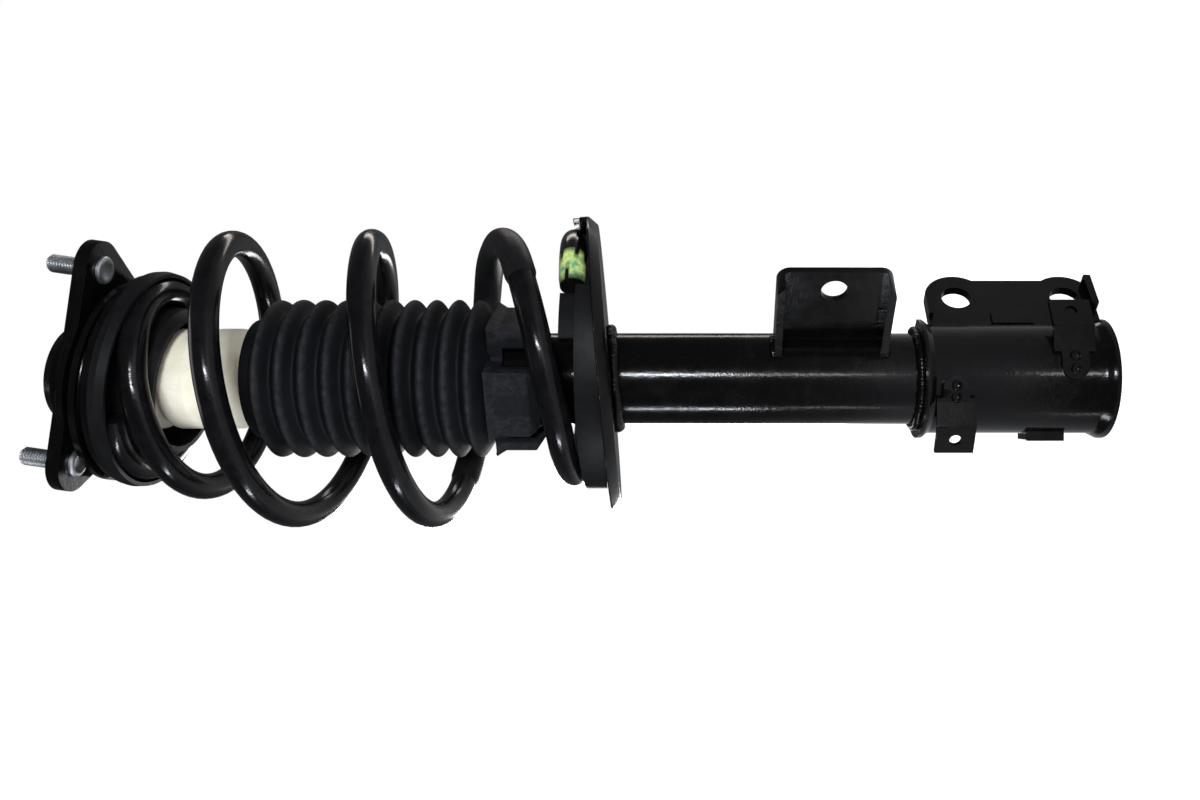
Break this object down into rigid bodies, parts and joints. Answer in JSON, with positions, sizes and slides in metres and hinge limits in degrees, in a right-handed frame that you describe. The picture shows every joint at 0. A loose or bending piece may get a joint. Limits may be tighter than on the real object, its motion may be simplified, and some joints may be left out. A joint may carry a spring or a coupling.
{
  "type": "strut assembly",
  "caption": "Car front strut with coil spring, dust boot, forked knuckle bracket and a leaning tower mount.",
  "frame": {"origin": "midway between the knuckle bracket's two bolt holes, in the middle of the gap", "axes": "+Z along the damper towards the tower mount, +X from the damper towards the knuckle, Y along the knuckle bolts"},
  "size_m": [0.1771, 0.1676, 0.5865],
  "materials": {
    "black_paint": "gloss",
    "spring_paint": "gloss",
    "black_rubber": "matte",
    "boot_rubber": "matte",
    "sleeve_plastic": "matte",
    "bump_foam": "matte",
    "rod_chrome": "polished",
    "zinc_plate": "satin",
    "bare_steel": "satin",
    "sintered_iron": "matte",
    "bearing_steel": "polished",
    "cage_nylon": "matte",
    "slide_polymer": "matte"
  },
  "bodies": {
    "strut_body": {"reserve_tube": "black_paint", "base_cap": "black_paint", "base_valve": "sintered_iron", "pressure_tube": "bare_steel", "rod_guide": "sintered_iron", "guide_bush": "slide_polymer", "rod_seal": "black_rubber", "striker_cap": "black_paint", "knuckle_bracket": "black_paint", "link_bracket": "black_paint", "hose_strap": "black_paint", "wire_strap": "black_paint", "lower_tab": "black_paint", "lower_seat": "black_paint", "lower_pad": "black_rubber", "coil_spring": "spring_paint", "spring_sleeve": "sleeve_plastic", "dust_boot": "boot_rubber"},
    "rod_and_seat": {"piston_rod": "rod_chrome", "piston": "sintered_iron", "piston_band": "slide_polymer", "piston_nut": "zinc_plate", "rebound_washer": "bare_steel", "rebound_stop": "black_rubber", "bump_stop": "bump_foam", "upper_seat": "black_paint", "upper_pad": "black_rubber", "lower_race": "bearing_steel", "ball_bush": "bare_steel", "rod_washer": "zinc_plate", "rod_nut": "zinc_plate"},
    "ball_cage": {"bearing_cage": "cage_nylon", "bearing_balls": "bearing_steel"},
    "top_mount": {"upper_race": "bearing_steel", "mount_shell": "black_paint", "mount_rubber": "black_rubber", "mount_plate": "black_paint", "mount_cap": "black_paint", "tower_studs": "zinc_plate"}
  },
  "joints": [
    {"name": "suspension_stroke", "type": "slide", "parent": "strut_body", "child": "rod_and_seat", "axis": [0, 0, -1], "range_m": [0, 0.09], "stiffness_N_per_m": 25000, "springref_m": -0.06, "deforming": ["coil_spring", "spring_sleeve", "dust_boot"]},
    {"name": "steering_swivel", "type": "hinge", "parent": "rod_and_seat", "child": "top_mount", "pos_m": [-0.043, 0, 0.507], "axis": [0.1034, -0.0931, 0.9903], "range_deg": [-40, 40]},
    {"name": "bearing_cage_roll", "type": "hinge", "parent": "rod_and_seat", "child": "ball_cage", "pos_m": [-0.04385, 0.00076, 0.49888], "axis": [0.1034, -0.0931, 0.9903], "range_deg": [-20, 20]}
  ],
  "couplings": [
    {"joint": "bearing_cage_roll", "follows": "steering_swivel", "ratio": 0.5}
  ]
}
